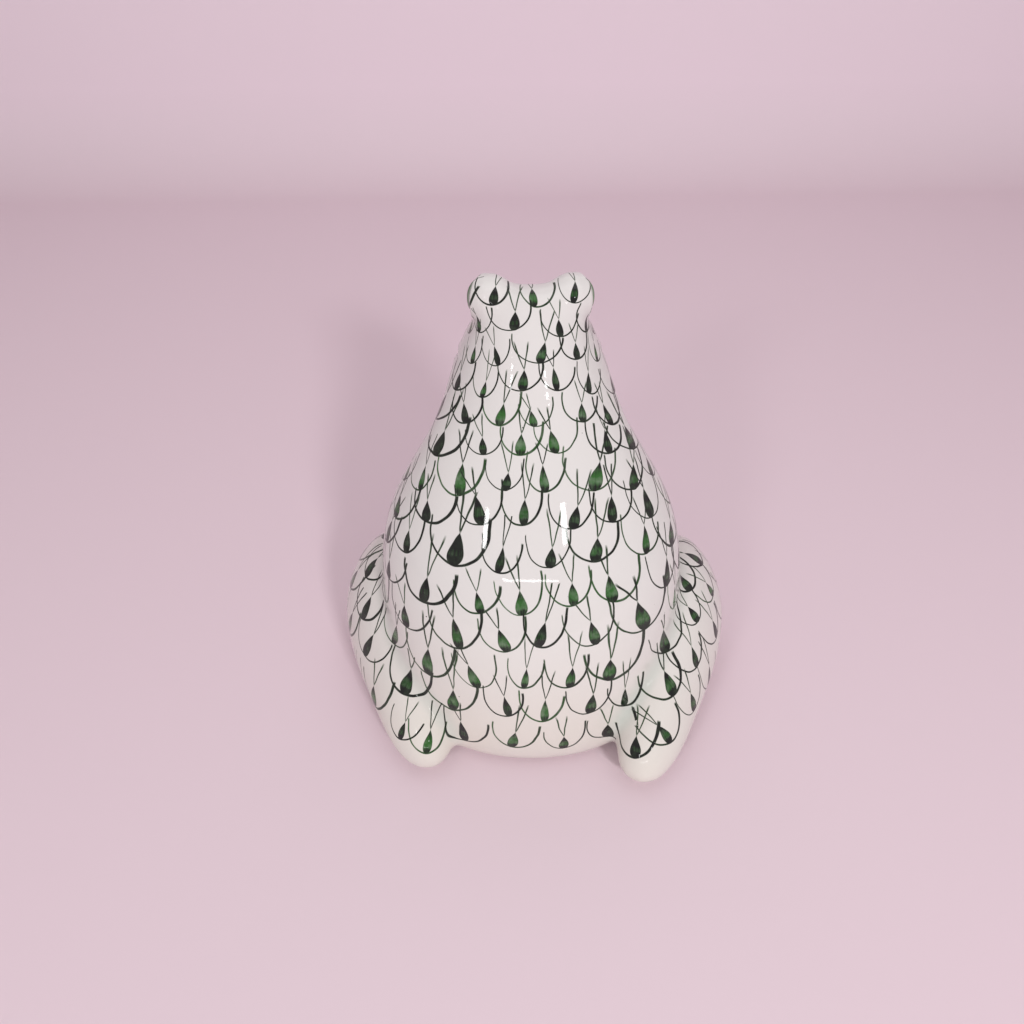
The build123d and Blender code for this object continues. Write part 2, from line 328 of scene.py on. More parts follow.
# The brush marks of one painted scale, in widths of the scale: across from its middle line and
# up from the bottom of its arc. Each row adds one Math node: result, operation and inputs.
arc_bend = 0.58
edge_sharpness = 90.0
luck_step = 0.37
stamp_steps = [
    # the arc: distance from half an ellipse that runs on upwards at both its ends
    ("low_up", "MINIMUM", "up", arc_bend),
    ("left_up", "SUBTRACT", arc_bend, "low_up"),
    ("bow", "DIVIDE", "left_up", arc_bend),
    ("wide", "MULTIPLY", "across", 2.0),
    ("wide_square", "MULTIPLY", "wide", "wide"),
    ("reach_square", "MULTIPLY_ADD", "bow", "bow", "wide_square"),
    ("reach", "SQRT", "reach_square"),
    ("off", "SUBTRACT", "reach", 1.0),
    ("off_size", "ABSOLUTE", "off"),
    ("slope_across", "MULTIPLY", "across", 4.0),
    ("slope_up", "DIVIDE", "bow", arc_bend),
    ("slope_across_square", "MULTIPLY", "slope_across", "slope_across"),
    ("slope_square", "MULTIPLY_ADD", "slope_up", "slope_up", "slope_across_square"),
    ("slope", "SQRT", "slope_square"),
    ("off_reach", "MULTIPLY", "off_size", "reach"),
    ("arc_gap", "DIVIDE", "off_reach", "slope"),
    # the brush presses harder to the right end
    ("along", "CLAMPED ADD", "across", 0.5),
    ("along_square", "MULTIPLY", "along", "along"),
    ("press", "MULTIPLY_ADD", "luck_1", 0.012, 0.013),
    ("swell", "MULTIPLY_ADD", "along_square", 0.55, 0.80),
    ("arc_half", "MULTIPLY", "press", "swell"),
    ("arc_inside", "SUBTRACT", "arc_half", "arc_gap"),
    ("arc_edge", "CLAMPED MULTIPLY_ADD", "arc_inside", edge_sharpness, 0.5),
    ("right_half", "GREATER_THAN", "across", 0.0),
    ("end_difference", "SUBTRACT", "luck_3", "luck_2"),
    ("end_luck", "MULTIPLY_ADD", "right_half", "end_difference", "luck_2"),
    ("end_height", "MULTIPLY_ADD", "end_luck", 0.24, 0.58),
    ("below_end", "SUBTRACT", "end_height", "up"),
    ("arc_ended", "CLAMPED MULTIPLY_ADD", "below_end", 25.0, 0.5),
    ("arc", "MULTIPLY", "arc_edge", "arc_ended"),
    ("arc_tone", "CLAMPED MULTIPLY_ADD", "luck_4", 1.5, 0.15),
    ("arc_load", "CLAMPED MULTIPLY_ADD", "along", 0.35, "arc_tone"),
    ("arc_dark", "MULTIPLY", "arc", "arc_load"),
    # the drop: a leaf with a round foot and a pointed tip, which leans to one side
    ("lean", "MULTIPLY_ADD", "luck_5", 0.44, -0.22),
    ("aside", "MULTIPLY_ADD", "luck_6", 0.20, -0.10),
    ("shift", "MULTIPLY_ADD", "lean", "up", "aside"),
    ("beside", "SUBTRACT", "across", "shift"),
    ("beside_size", "ABSOLUTE", "beside"),
    ("drop_height", "MULTIPLY_ADD", "luck_2", 0.18, 0.42),
    ("drop_up", "ADD", "up", 0.012),
    ("high", "CLAMPED DIVIDE", "drop_up", "drop_height"),
    ("round_foot", "SQRT", "high"),
    ("to_tip", "SUBTRACT", 1.0, "high"),
    ("sharp_tip", "POWER", "to_tip", 1.15),
    ("leaf", "MULTIPLY", "round_foot", "sharp_tip"),
    ("drop_width", "MULTIPLY_ADD", "luck_3", 0.10, 0.28),
    ("drop_half", "MULTIPLY", "leaf", "drop_width"),
    ("drop_inside", "SUBTRACT", "drop_half", "beside_size"),
    ("drop", "CLAMPED MULTIPLY", "drop_inside", edge_sharpness),
    ("foot_dark", "CLAMPED MULTIPLY_ADD", "high", -7.0, 2.2),
    ("tip_dark", "CLAMPED MULTIPLY_ADD", "high", 3.2, -1.5),
    ("rim_dark", "CLAMPED MULTIPLY_ADD", "drop_inside", -22.0, 0.75),
    ("ends_dark", "MAXIMUM", "foot_dark", "tip_dark"),
    ("outline_dark", "MAXIMUM", "ends_dark", "rim_dark"),
    ("drop_tone", "MULTIPLY_ADD", "luck_4", 1.4, -0.30),
    ("drop_streak", "MULTIPLY_ADD", "streak", 1.1, -0.5),
    ("drop_load", "ADD", "drop_tone", "drop_streak"),
    ("drop_all", "CLAMPED ADD", "outline_dark", "drop_load"),
    ("drop_dark", "MULTIPLY", "drop", "drop_all"),
    # two hairs that spread from the drop's tip
    ("hair_up", "SUBTRACT", "drop_up", "drop_height"),
    ("hair_height", "MULTIPLY_ADD", "luck_5", 0.36, 0.42),
    ("hair_along", "DIVIDE", "hair_up", "hair_height"),
    ("hair_share", "CLAMPED MULTIPLY", "hair_along", 1.0),
    ("fan", "POWER", "hair_share", 0.85),
    ("spread_most", "MULTIPLY_ADD", "luck_6", 0.08, 0.09),
    ("spread", "MULTIPLY", "fan", "spread_most"),
    ("hair_lean", "MULTIPLY_ADD", "luck_1", 0.18, -0.13),
    ("hair_shift", "MULTIPLY", "hair_lean", "hair_share"),
    ("hair_beside", "SUBTRACT", "beside", "hair_shift"),
    ("hair_beside_size", "ABSOLUTE", "hair_beside"),
    ("hair_off", "SUBTRACT", "hair_beside_size", "spread"),
    ("hair_gap", "ABSOLUTE", "hair_off"),
    ("hair_press", "MULTIPLY_ADD", "hair_share", 0.008, 0.009),
    ("hair_half", "MULTIPLY_ADD", "luck_3", 0.004, "hair_press"),
    ("hair_inside", "SUBTRACT", "hair_half", "hair_gap"),
    ("hair_edge", "CLAMPED MULTIPLY_ADD", "hair_inside", edge_sharpness, 0.5),
    ("hair_begun", "CLAMPED MULTIPLY_ADD", "hair_along", 8.0, 0.5),
    ("hair_ended", "CLAMPED MULTIPLY_ADD", "hair_along", -5.0, 5.2),
    ("hair_on", "MULTIPLY", "hair_begun", "hair_ended"),
    ("hair", "MULTIPLY", "hair_edge", "hair_on"),
    ("hair_tone", "MULTIPLY_ADD", "luck_2", 0.4, 0.6),
    ("hair_dark", "MULTIPLY", "hair", "hair_tone"),
    # all the marks together
    ("some_paint", "MAXIMUM", "arc", "drop"),
    ("paint", "MAXIMUM", "some_paint", "hair"),
    ("some_dark", "MAXIMUM", "arc_dark", "drop_dark"),
    ("dark", "MAXIMUM", "some_dark", "hair_dark"),
]

stamp = bpy.data.node_groups.new("painted scale", "ShaderNodeTree")
stamp.interface.new_socket("Scale place", in_out="INPUT", socket_type="NodeSocketVector")
stamp.interface.new_socket("Paint", in_out="OUTPUT", socket_type="NodeSocketFloat")
stamp.interface.new_socket("Dark", in_out="OUTPUT", socket_type="NodeSocketFloat")
scale_place = wire(stamp, "NodeGroupInput").outputs[0]
parts = wire(stamp, "ShaderNodeSeparateXYZ", scale_place).outputs
number = wire(stamp, "ShaderNodeMath", parts[2], operation="ROUND").outputs[0]
values = {"across": parts[0], "up": parts[1]}
for first in (1, 4):
    draw = wire(stamp, "ShaderNodeMath", number, first * luck_step, operation="ADD").outputs[0]
    luck = wire(stamp, "ShaderNodeTexWhiteNoise", noise_dimensions="1D")
    stamp.links.new(draw, luck.inputs["W"])
    lucks = wire(stamp, "ShaderNodeSeparateColor", luck.outputs["Color"]).outputs
    for i in range(3):
        values[f"luck_{first + i}"] = lucks[i]
streaks = [
    wire(stamp, "ShaderNodeMath", part, count, operation="MULTIPLY").outputs[0]
    for part, count in zip(parts, bristle_streaks)
]
streak_place = wire(stamp, "ShaderNodeCombineXYZ", *streaks, number).outputs[0]
values["streak"] = wire(stamp, "ShaderNodeTexNoise", streak_place, None, 1.0, 0.0).outputs[0]
for result, operation, *inputs in stamp_steps:
    sources = [values[i] if isinstance(i, str) else i for i in inputs]
    clamped = operation.startswith("CLAMPED ")
    operation = operation.removeprefix("CLAMPED ")
    made = wire(stamp, "ShaderNodeMath", *sources, operation=operation, use_clamp=clamped)
    values[result] = made.outputs[0]
wire(stamp, "NodeGroupOutput", values["paint"], values["dark"])

glazed = bpy.data.materials.new("glazed porcelain with green underglaze painting")
glazed.use_nodes = True
shader_tree = glazed.node_tree
shader_tree.nodes.clear()
object_place = wire(shader_tree, "ShaderNodeTexCoord").outputs["Object"]
wobble = wire(
    shader_tree, "ShaderNodeTexNoise", object_place, None, 1000 / brush_wobble_mm, 1.0
).outputs["Color"]
wobble_most = (brush_wobble_share, brush_wobble_share, 0.0)
for operation, amount in (("SUBTRACT", (0.5, 0.5, 0.5)), ("MULTIPLY", wobble_most)):
    wobble = wire(
        shader_tree, "ShaderNodeVectorMath", wobble, amount, operation=operation
    ).outputs[0]
paints, darks = [], []
for i in range(scale_slots):
    stored = wire(shader_tree, "ShaderNodeAttribute", attribute_name=f"scale_{i + 1}")
    stored = stored.outputs["Vector"]
    waved = wire(shader_tree, "ShaderNodeVectorMath", stored, wobble, operation="ADD").outputs[0]
    marks = wire(shader_tree, "ShaderNodeGroup", waved, node_tree=stamp)
    paints.append(marks.outputs["Paint"])
    darks.append(marks.outputs["Dark"])
marks_by_hand = []
for mark in ("pen_gap", "wash_gap"):
    gap = wire(shader_tree, "ShaderNodeAttribute", attribute_name=mark).outputs["Fac"]
    edge = wire(
        shader_tree, "ShaderNodeMath", gap, -pen_edge_per_mm, 0.5,
        operation="MULTIPLY_ADD", use_clamp=True
    )
    marks_by_hand.append(edge.outputs[0])
cells = wire(
    shader_tree, "ShaderNodeTexVoronoi", object_place, None, 1000 / speck_spacing_mm
).outputs[0]
speck_level = speck_edge * speck_radius_mm / speck_spacing_mm
speck = wire(
    shader_tree, "ShaderNodeMath", cells, -speck_edge, speck_level,
    operation="MULTIPLY_ADD", use_clamp=True
).outputs[0]
paints += [*marks_by_hand, speck]
darks += [marks_by_hand[0], speck]
load, tint = (
    wire(shader_tree, "ShaderNodeTexNoise", object_place, None, 1000 / size_mm, 2.0).outputs["Fac"]
    for size_mm in (brush_load_mm, warm_light_patch_mm)
)
load = wire(
    shader_tree, "ShaderNodeMapRange", load, *brush_load_noise, *brush_load_share
).outputs[0]
covers = []
for marks in (paints, darks):
    cover = marks[0]
    for mark in marks[1:]:
        cover = wire(shader_tree, "ShaderNodeMath", cover, mark, operation="MAXIMUM").outputs[0]
    covers.append(wire(shader_tree, "ShaderNodeMath", cover, load, operation="MULTIPLY").outputs[0])
paint, dark = covers

height = wire(shader_tree, "ShaderNodeSeparateXYZ", object_place).outputs[2]
# Painted warm light: from the floor up, the white is painted creamier in broad random patches.
low = wire(
    shader_tree, "ShaderNodeMapRange", height, 0.0, painted_warm_light_height, painted_warm_light_most, 0.0
).outputs[0]
painted_warm_light_share = wire(
    shader_tree, "ShaderNodeMath", tint, low, operation="MULTIPLY", use_clamp=True
).outputs[0]
pooled = wire(shader_tree, "ShaderNodeAttribute", attribute_name="pool").outputs["Fac"]
colour = linear(porcelain_hex)
layers = (
    (painted_warm_light_share, painted_warm_light_hex),
    (pooled, pool_hex),
    (paint, green_paint_hex),
    (dark, dark_paint_hex),
)
# In a Mix node, five other inputs lie between the factor and the two colours, and the third
# output is the mixed colour.
before_mix_colours = [None] * 5
mix_colour_output = 2
for share, layer_hex in layers:
    colour = wire(
        shader_tree, "ShaderNodeMix", share, *before_mix_colours, colour, linear(layer_hex),
        data_type="RGBA"
    ).outputs[mix_colour_output]
surface = wire(shader_tree, "ShaderNodeBsdfPrincipled", colour)
surface.inputs["Roughness"].default_value = body_roughness
surface.inputs["Specular IOR Level"].default_value = 0.0
surface.inputs["IOR"].default_value = 1.5
surface.inputs["Coat Weight"].default_value = 1.0
surface.inputs["Coat Roughness"].default_value = coat_roughness
wire(shader_tree, "ShaderNodeOutputMaterial", surface.outputs[0])

wave_inputs = {
    "Wave height": wave_height, "Wave length": wave_length, "Seed": wave_seed, "Material": glazed
}
waved_skin = modified(skin, "NODES", wave_inputs, node_group=wave_tree)
fine_points = read_array(waved_skin.vertices, "co", 3)
fine_points[:, 2] = np.maximum(fine_points[:, 2], 0.0)
waved_skin.vertices.foreach_set("co", fine_points.ravel())
waved_skin.update()
fine_normals = read_array(waved_skin.vertex_normals, "vector", 3)
fine_quads = read_array(waved_skin.loops, "vertex_index", 1, np.int32).reshape(-1, 4)
fine_owner = read_array(waved_skin.attributes["owner"].data, "value", 1, np.int32)
fine_pool = read_array(waved_skin.attributes["pool"].data, "value", 1)

# The painted scales
# The painter works from the nose to the rump, row by row, with each scale between two of the
# row above. The rows lie square to a flow that runs down the back and out over the haunches.
back_slope = (0.42, -0.80)
splay_most = 0.5
splay_starts_mm = 28.0
splay_softness_mm = 4.0
splay_ends_at_height_mm = 45.0
splay_end_softness_mm = 6.0
slope_step_mm = 0.5
first_row = -83.0
last_row = 18.0
row_share_of_width = 0.6675
height_by_row_mm = ((-86, -61, -42, -29, -10, 15), (102, 80, 63, 50, 30, 0))
scale_width_by_height_mm = ((0, 30, 50, 68, 80, 95), (12.6, 13.1, 12.4, 10.8, 9.0, 8.1))
scale_width_by_form_mm = {"haunch": 11.6, "foreleg": 8.0, "eye": 8.3}
face_rows_mm = (-15.0, -20.5, -26.0)
face_scale_width_mm = 7.4
least_share_of_width = 0.62
least_gap_share = 0.5
crease_share_of_width = 0.3
scale_seed = 11

# Rows are laid on the loops round the skin that are long enough, from the middle of the back.
least_loop_points = 12
least_loop_length = 0.012
start_band = 0.0015
start_height_weight = 0.5
hang_reach_share = 1.3
least_slope = 0.2

# The painter's errors: the tilt in radians, the others in shares of the scale's size
row_error_share = 0.10
tilt_error = 0.14
across_error_share = 0.03
down_error_share = 0.10
drawn_width_share = 0.98
width_error_share = 0.07
height_error_share = 0.09
width_and_usual_share = (0.45, 0.55)

# Where the painting stops: places in millimetres, and how the surface faces there
lowest_paint_mm = 1.5
lowest_facing = -0.75
mouth_corner_mm = (-7.5, 89.0)
brow_mm = -13.5
brow_facing = -0.55
wrist_mm = 9.0
foreleg_inner_facing = -0.25
haunch_inner_facing = -0.6
flank_facing = -0.42
snout_low_mm = 87.0
snout_low_facing = -0.15

# How far a scale's marks reach. Lengths are in widths and heights of the scale.
marks_reach = 1.4
marks_least_facing = 0.1
marks_stretch_most = 1.6
marks_half_width = 0.62
marks_up = (-0.16, 1.22)
marks_middle_up = 0.45
marks_radii = (0.55, 0.7)

luck = np.random.default_rng(scale_seed)
scales = []


def back_flow(place_mm):
    """The value that the rows of the back follow, at places in millimetres."""
    x, y, z = np.moveaxis(place_mm, -1, 0)
    beyond = np.logaddexp(0, (np.abs(x) - splay_starts_mm) / splay_softness_mm) * splay_softness_mm
    low = 1 / (1 + np.exp((z - splay_ends_at_height_mm) / splay_end_softness_mm))
    return y * back_slope[0] + z * back_slope[1] + splay_most * beyond * low


def face_flow(place_mm):
    """The value that the rows over the face follow: how far back from the nose they lie."""
    return place_mm[..., 1]


triangles = np.concatenate([quads[:, [0, 1, 2]], quads[:, [0, 2, 3]]])
triangle_owner = np.concatenate([owner, owner])


def level_loops(values, level):
    """Closed lines on the skin where the values cross a level: places, normals and owners."""
    above = values[triangles] > level
    cut = np.flatnonzero(above.any(1) & ~above.all(1))
    links, places, normals, owners = {}, {}, {}, {}
    for t in cut:
        keys = []
        for i in range(3):
            a, b = triangles[t, i], triangles[t, i - 1]
            if above[t, i] != above[t, i - 1]:
                a, b = min(a, b), max(a, b)
                share = (level - values[a]) / (values[b] - values[a])
                places[a, b] = points[a] + (points[b] - points[a]) * share
                normals[a, b] = coarse_normals[a]
                owners[a, b] = triangle_owner[t]
                keys.append((a, b))
        links.setdefault(keys[0], []).append(keys[1])
        links.setdefault(keys[1], []).append(keys[0])
    while links:
        key = next(iter(links))
        loop = []
        while key in links:
            loop.append(key)
            onward = links.pop(key)
            key = next((k for k in onward if k in links), None)
        yield [np.array([found[k] for k in loop]) for found in (places, normals, owners)]


def width_at(place, form):
    """The width of a scale at a place on a form, in metres."""
    width = scale_width_by_form_mm.get(form)
    if width is None:
        width = np.interp(place[2] * 1000, *scale_width_by_height_mm)
    return width / 1000


def lay_row(flow, level, above, may_paint, width_for):
    """Paints one row, with each scale hung between two of the row above. Gives their middles."""
    laid = []
    for places, normals, owners in level_loops(flow(points * 1000), level):
        steps = np.linalg.norm(np.roll(places, -1, 0) - places, axis=1)
        length = steps.sum()
        if len(places) < least_loop_points or length < least_loop_length:
            continue
        off_middle = np.abs(places[:, 0]) - start_height_weight * places[:, 2] - places[:, 1]
        middle = np.where(np.abs(places[:, 0]) < start_band, off_middle, 1.0)
        first = middle.argmin() if middle.min() < 1.0 else np.abs(places[:, 0]).argmin()
        places, normals, owners, steps = (
            np.roll(v, -first, 0) for v in (places, normals, owners, steps)
        )
        ways = np.concatenate([[0], np.cumsum(steps)])[:-1]

        def at(way):
            return int(np.searchsorted(ways, way % length, side="right")) - 1

        def wanted(way):
            return width_for(places[at(way)], form_of(nodes[owners[at(way)]]))

        hangs = []
        for centre in above:
            away = np.linalg.norm(places - centre, axis=1)
            if away.min() < hang_reach_share * wanted(ways[away.argmin()]):
                hangs.append(ways[away.argmin()])
        if len(hangs) < 2:
            count = max(2, round(length / wanted(0)))
            hangs = [(i + 0.5) * length / count for i in range(count)]
        kept = []
        for way in sorted(hangs):
            if not kept or way - kept[-1] > least_share_of_width * wanted(way):
                kept.append(way)
        if len(kept) > 1 and kept[0] + length - kept[-1] < least_share_of_width * wanted(0):
            kept.pop()
        for low, high in zip(kept, kept[1:] + [kept[0] + length]):
            count = max(1, int((high - low) / wanted((low + high) / 2) + 0.5))
            for i in range(count):
                chance = luck.uniform(-1, 1, 6)
                width = (high - low) / count
                way = low + width * (i + 0.5 + row_error_share * chance[5])
                spot = at(way)
                place, normal, form = places[spot], normals[spot], form_of(nodes[owners[spot]])
                laid.append(place)
                if may_paint(place * 1000, normal, form):
                    paint_scale(flow, place, normal, width, wanted(way), chance)
    return laid


def paint_scale(flow, place, normal, width, usual_width, chance):
    """Notes where one scale lies, with its painter's small errors."""
    shifts = np.eye(3) * slope_step_mm
    slope = flow(place * 1000 + shifts) - flow(place * 1000 - shifts)
    down = slope - normal * (slope @ normal)
    if np.linalg.norm(down) < least_slope:
        return
    down /= np.linalg.norm(down)
    across = np.cross(normal, down)
    tilt = chance[0] * tilt_error
    down, across = down * cos(tilt) + across * sin(tilt), across * cos(tilt) - down * sin(tilt)
    middle = place + across * chance[1] * across_error_share * width
    middle = middle + down * chance[2] * down_error_share * usual_width
    nearest = min((np.linalg.norm(other[0] - middle) for other in scales), default=1.0)
    if nearest < least_gap_share * usual_width:
        return
    drawn_width = width * (drawn_width_share + width_error_share * chance[3])
    mean_width = width_and_usual_share[0] * width + width_and_usual_share[1] * usual_width
    drawn_height = mean_width * (1 + height_error_share * chance[4])
    scales.append((middle, normal, down, across, drawn_width, drawn_height))


def on_painted_back(place, normal, form):
    """Whether the back's rows reach a place: not the face, chin, belly, floor or toes."""
    x, y, z = place
    if form == "foot" or z < lowest_paint_mm or normal[2] < lowest_facing:
        return False
    if form in ("head", "eye"):
        at_mouth = y < mouth_corner_mm[0] and z < mouth_corner_mm[1]
        return y > brow_mm and normal[1] > brow_facing and not at_mouth
    if form == "foreleg":
        return normal[0] * np.sign(x) > foreleg_inner_facing and z > wrist_mm
    if form == "haunch":
        return normal[0] * np.sign(x) > haunch_inner_facing
    return normal[1] > flank_facing


def on_painted_face(place, normal, form):
    """Whether the rows over the brow and snout reach a place, which is above the mouth."""
    return form == "head" and place[2] > snout_low_mm and normal[2] > snout_low_facing


def face_width_at(place, form):
    """The width of a scale on the face, in metres, which is the same all over it."""
    return face_scale_width_mm / 1000


level, above = first_row, []
while level < last_row:
    above = lay_row(back_flow, level, above, on_painted_back, width_at)
    height_mm = np.interp(level, *height_by_row_mm)
    width_mm = np.interp(height_mm, *scale_width_by_height_mm)
    level += row_share_of_width * width_mm
above = []
for level in face_rows_mm:
    above = lay_row(face_flow, level, above, on_painted_face, face_width_at)
scale_rows = [np.array(column) for column in zip(*scales)]


def paint_scales(mesh, bare):
    """Stores, at each face corner, where it lies in each of the painted scales over the face."""
    middles, normals, downs, across_all, widths, heights = scale_rows
    corners = read_array(mesh.loops, "vertex_index", 1, np.int32)
    corner_points = read_array(mesh.vertices, "co", 3)[corners]
    centres = read_array(mesh.polygons, "center", 3)
    face_normals = read_array(mesh.polygons, "normal", 3)
    starts = read_array(mesh.polygons, "loop_start", 1, np.int32)
    totals = read_array(mesh.polygons, "loop_total", 1, np.int32)
    bare = bare(centres) | read_array(mesh.attributes["cap"].data, "value", 1, bool)

    def seen_from(i, places):
        """Places in the widths of scale i: across it, and up from the bottom of its arc."""
        away = places - middles[i]
        flat = away - np.outer(away @ normals[i], normals[i])
        stretch = np.linalg.norm(away, axis=1) / np.maximum(np.linalg.norm(flat, axis=1), 1e-9)
        flat *= np.minimum(stretch, marks_stretch_most)[:, None]
        return flat @ across_all[i] / widths[i], -(flat @ downs[i]) / heights[i]

    # What stands out before a scale's own plane lies across a crease, and isn't painted by it.
    faces, which, rank = [], [], []
    for i in range(len(middles)):
        near = np.flatnonzero(
            (np.abs(centres - middles[i]).max(1) < marks_reach * max(widths[i], heights[i]))
            & ((centres - middles[i]) @ normals[i] < crease_share_of_width * widths[i])
            & (face_normals @ normals[i] > marks_least_facing)
            & ~bare
        )
        if not len(near):
            continue
        across, up = seen_from(i, centres[near])
        inside = (np.abs(across) < marks_half_width) & (up > marks_up[0]) & (up < marks_up[1])
        faces.append(near[inside])
        which.append(np.full(inside.sum(), i))
        off_up = up[inside] - marks_middle_up
        rank.append(np.hypot(across[inside] / marks_radii[0], off_up / marks_radii[1]))
    stored = np.full((scale_slots, len(mesh.loops), 3), far_off, np.float32)
    if faces:
        faces, which, rank = (np.concatenate(v) for v in (faces, which, rank))
        order = np.lexsort((rank, faces))
        faces, which = faces[order], which[order]
        first_of_face = np.searchsorted(faces, faces, side="left")
        slot = np.arange(len(faces)) - first_of_face
        for i in np.unique(which):
            mine = np.flatnonzero((which == i) & (slot < scale_slots))
            spans = [np.arange(starts[f], starts[f] + totals[f]) for f in faces[mine]]
            loops = np.concatenate(spans)
            slots = np.repeat(slot[mine], totals[faces[mine]])
            across, up = seen_from(i, corner_points[loops])
            stored[slots, loops] = np.stack([across, up, np.full(len(loops), float(i))], 1)
    for i in range(scale_slots):
        store(mesh, f"scale_{i + 1}", "FLOAT_VECTOR", "CORNER", stored[i].ravel(), "vector")


def opening_loops(sides):
    """The closed loops of a list of directed edges, as lists of vertex numbers."""
    onward = {}
    for a, b in sides:
        onward.setdefault(int(a), []).append(int(b))
    while onward:
        start = next(iter(onward))
        loop, at = [], start
        while at in onward:
            loop.append(at)
            following = onward[at].pop()
            if not onward[at]:
                del onward[at]
            at = following
        yield loop


def skin_piece(node):
    """The node's own part of the skin, as a closed mesh with fans over its hidden openings."""
    chosen = fine_quads[fine_owner == nodes.index(node)]
    used, corners = np.unique(chosen, return_inverse=True)
    corners = corners.reshape(-1, 4)
    places = [tuple(p) for p in fine_points[used]]
    sides = np.concatenate([corners[:, [i, (i + 1) % 4]] for i in range(4)])
    codes = sides[:, 0] * len(used) + sides[:, 1]
    open_sides = sides[~np.isin(codes, sides[:, 1] * len(used) + sides[:, 0])]
    faces = corners.tolist()
    caps = []
    for loop in opening_loops(open_sides):
        centre = len(places)
        places.append(tuple(np.mean([places[v] for v in loop], axis=0)))
        caps += [(b, a, centre) for a, b in zip(loop, loop[1:] + loop[:1])]
    mesh = bpy.data.meshes.new(node)
    mesh.from_pydata(places, [], faces + caps)
    cap = np.arange(len(faces) + len(caps)) >= len(faces)
    store(mesh, "cap", "BOOLEAN", "FACE", cap)
    pools = np.zeros(len(places), np.float32)
    pools[: len(used)] = fine_pool[used]
    store(mesh, "pool", "FLOAT", "POINT", pools)
    seam = np.zeros((len(places), 3), np.float32)
    rim = np.unique(open_sides)
    seam[rim] = fine_normals[used][rim]
    store(mesh, "seam_normal", "FLOAT_VECTOR", "POINT", seam.ravel(), "vector")
    mesh.update()
    return mesh


def smooth_over_seams(mesh):
    """Gives a piece smooth normals that run on over its seams into the neighbouring piece."""
    corners = read_array(mesh.loops, "vertex_index", 1, np.int32)
    totals = read_array(mesh.polygons, "loop_total", 1, np.int32)
    weights = read_array(mesh.polygons, "area", 1)
    weights[read_array(mesh.attributes["cap"].data, "value", 1, bool)] *= 1e-6
    pull = np.repeat(read_array(mesh.polygons, "normal", 3) * weights[:, None], totals, 0)
    normals = np.stack([np.bincount(corners, pull[:, i], len(mesh.vertices)) for i in range(3)], 1)
    normals /= np.maximum(np.linalg.norm(normals, axis=1), 1e-12)[:, None]
    seam = read_array(mesh.attributes["seam_normal"].data, "vector", 3)
    on_seam = np.linalg.norm(seam, axis=1) > 0.75
    normals[on_seam] = seam[on_seam]
    mesh.shade_smooth()
    mesh.normals_split_custom_set_from_vertices([tuple(n) for n in normals])


# Torso
# The hollow body, slip-cast in a plaster mould. Its flat foot is wiped clean of glaze and has
# the kiln's vent beside the middle.
biscuit_hex = "DDD5C8"
biscuit_soil_hex = "BEB29F"
biscuit_grain_mm = 0.4
biscuit_soil_mm = 14.0
belly_half_width = 0.022
belly_back = -0.015
belly_top = 0.045
foot_facing = -0.95

biscuit = bpy.data.materials.new("unglazed biscuit porcelain of the foot")
biscuit.use_nodes = True
biscuit_tree = biscuit.node_tree
biscuit_surface = biscuit_tree.nodes["Principled BSDF"]
biscuit_place = wire(biscuit_tree, "ShaderNodeTexCoord").outputs["Object"]
grain = wire(biscuit_tree, "ShaderNodeTexNoise", biscuit_place, None, 1000 / biscuit_grain_mm, 3.0)
soil = wire(biscuit_tree, "ShaderNodeTexNoise", biscuit_place, None, 1000 / biscuit_soil_mm, 4.0)
biscuit_colour = wire(
    biscuit_tree, "ShaderNodeMix", soil.outputs["Fac"], *before_mix_colours,
    linear(biscuit_hex), linear(biscuit_soil_hex), data_type="RGBA"
).outputs[mix_colour_output]
biscuit_tree.links.new(biscuit_colour, biscuit_surface.inputs["Base Color"])
bump = wire(biscuit_tree, "ShaderNodeBump")
bump.inputs["Strength"].default_value = 0.3
bump.inputs["Distance"].default_value = 0.0001
biscuit_tree.links.new(grain.outputs["Fac"], bump.inputs["Height"])
biscuit_tree.links.new(bump.outputs[0], biscuit_surface.inputs["Normal"])
biscuit_surface.inputs["Roughness"].default_value = 0.75


def refined(mesh, near, rounds):
    """Cuts the faces near a detail into quarters, so that it can be modelled in them."""
    for _ in range(rounds):
        form = bmesh.new()
        form.from_mesh(mesh)
        cap = form.faces.layers.bool["cap"]
        faces = [f for f in form.faces if not f[cap] and near(np.array(f.calc_center_median()))]
        sides = list({edge for face in faces for edge in face.edges})
        bmesh.ops.subdivide_edges(form, edges=sides, cuts=1, use_grid_fill=True)
        form.to_mesh(mesh)
        form.free()
    mesh.update()
    return mesh


def pushed(mesh, push):
    """Moves each vertex along its normal, by as much as push gives for its place."""
    places = read_array(mesh.vertices, "co", 3)
    normals = read_array(mesh.vertex_normals, "vector", 3)
    mesh.vertices.foreach_set("co", (places + normals * push(places)[:, None]).ravel())
    mesh.update()
    return mesh


def nowhere(centres):
    """Leaves no place bare."""
    return np.zeros(len(centres), bool)


